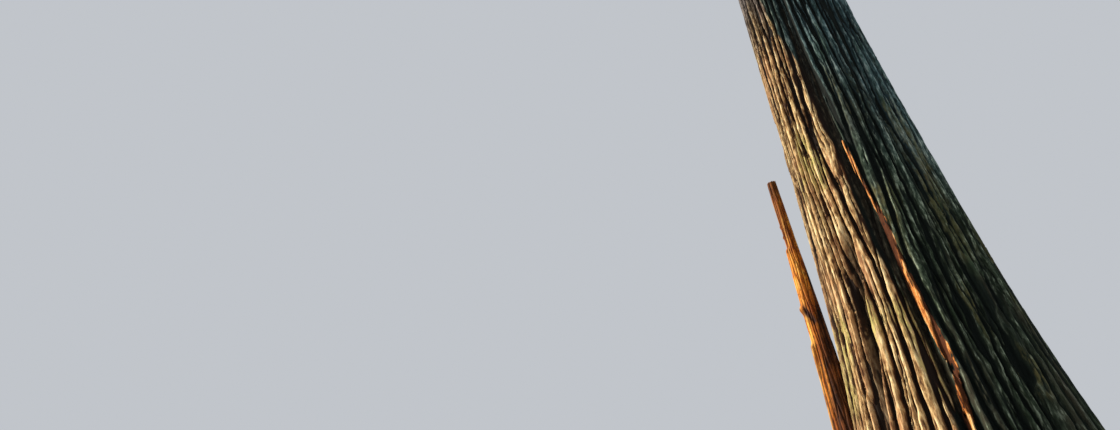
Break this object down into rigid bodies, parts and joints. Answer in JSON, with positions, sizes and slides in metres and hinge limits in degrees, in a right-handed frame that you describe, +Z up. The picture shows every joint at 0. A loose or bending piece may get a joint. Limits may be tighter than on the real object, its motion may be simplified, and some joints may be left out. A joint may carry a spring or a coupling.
{
  "type": "redwood tree",
  "caption": "Tall whole redwood at half size, with a fluted flaring trunk, a broken dead stem at its foot, drooping boughs and layered needle sprays.",
  "frame": {"origin": "middle of the flat cut under the trunk, at ground level", "axes": "+Z straight up, -Y towards the side that the picture shows, +X to that viewer's right"},
  "size_m": [8.0427, 8.7614, 39.9899],
  "materials": {
    "bark": "deeply ridged fibrous bark, grey-brown with green tints and orange-red inner bark",
    "dead_wood": "bare weathered orange heartwood, splintered",
    "bough_bark": "rough grey-brown bark",
    "foliage": "flat sprays of green needles"
  },
  "bodies": {
    "root": {"bough_01": "bough_bark", "bough_02": "bough_bark", "bough_03": "bough_bark", "bough_04": "bough_bark", "bough_05": "bough_bark", "bough_06": "bough_bark", "bough_07": "bough_bark", "bough_08": "bough_bark", "bough_09": "bough_bark", "bough_10": "bough_bark", "bough_11": "bough_bark", "bough_12": "bough_bark", "bough_13": "bough_bark", "dead_stem": "dead_wood", "foliage_01": "foliage", "foliage_02": "foliage", "foliage_03": "foliage", "foliage_04": "foliage", "foliage_05": "foliage", "foliage_06": "foliage", "foliage_07": "foliage", "foliage_08": "foliage", "foliage_09": "foliage", "foliage_10": "foliage", "foliage_11": "foliage", "foliage_12": "foliage", "foliage_13": "foliage", "foliage_14": "foliage", "foliage_15": "foliage", "foliage_16": "foliage", "foliage_17": "foliage", "foliage_18": "foliage", "foliage_19": "foliage", "foliage_20": "foliage", "foliage_21": "foliage", "foliage_22": "foliage", "foliage_23": "foliage", "foliage_24": "foliage", "foliage_25": "foliage", "foliage_26": "foliage", "foliage_27": "foliage", "foliage_28": "foliage", "foliage_29": "foliage", "foliage_30": "foliage", "foliage_31": "foliage", "foliage_32": "foliage", "foliage_33": "foliage", "foliage_34": "foliage", "foliage_35": "foliage", "leader": "foliage", "low_spray_1": "foliage", "low_spray_2": "foliage", "low_spray_3": "foliage", "low_spray_4": "foliage", "trunk": "bark"}
  },
  "joints": []
}
